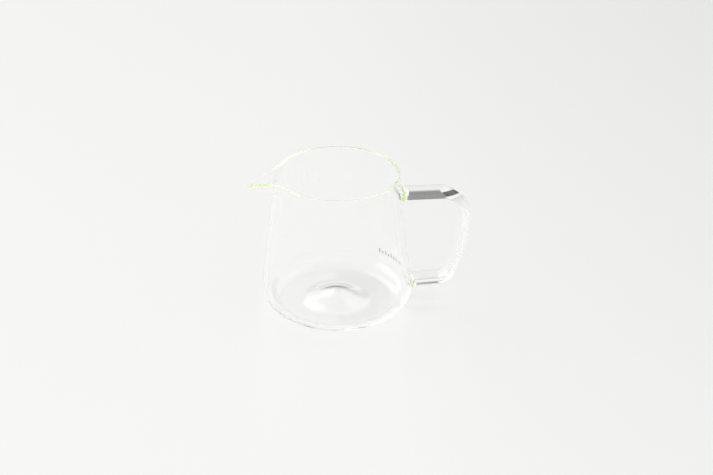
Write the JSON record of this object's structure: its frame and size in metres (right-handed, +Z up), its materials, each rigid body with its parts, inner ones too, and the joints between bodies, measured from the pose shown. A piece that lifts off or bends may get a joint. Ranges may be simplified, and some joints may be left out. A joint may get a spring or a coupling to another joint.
{
  "type": "coffee server",
  "caption": "Clear glass coffee server: conical body on a rounded foot, drawn pouring lip, and a handle bent from a flattened glass rod and welded on opposite the lip.",
  "frame": {"origin": "centre of the foot ring on the table plane, on the vessel's axis", "axes": "+Z up along the vessel's axis, +X towards the handle, -X towards the pouring lip"},
  "size_m": [0.1449, 0.098, 0.094],
  "materials": {
    "clear_glass": "clear blown glass, fire polished, faint green tint in thick places",
    "handle_glass": "clear drawn glass rod, flattened, faint green tint",
    "fired_print": "dark grey fired-on colour, satin"
  },
  "bodies": {
    "root": {"glass_body": "clear_glass", "handle": "handle_glass", "upper_weld": "handle_glass", "lower_weld": "handle_glass", "tick_marks": "fired_print"}
  },
  "joints": []
}
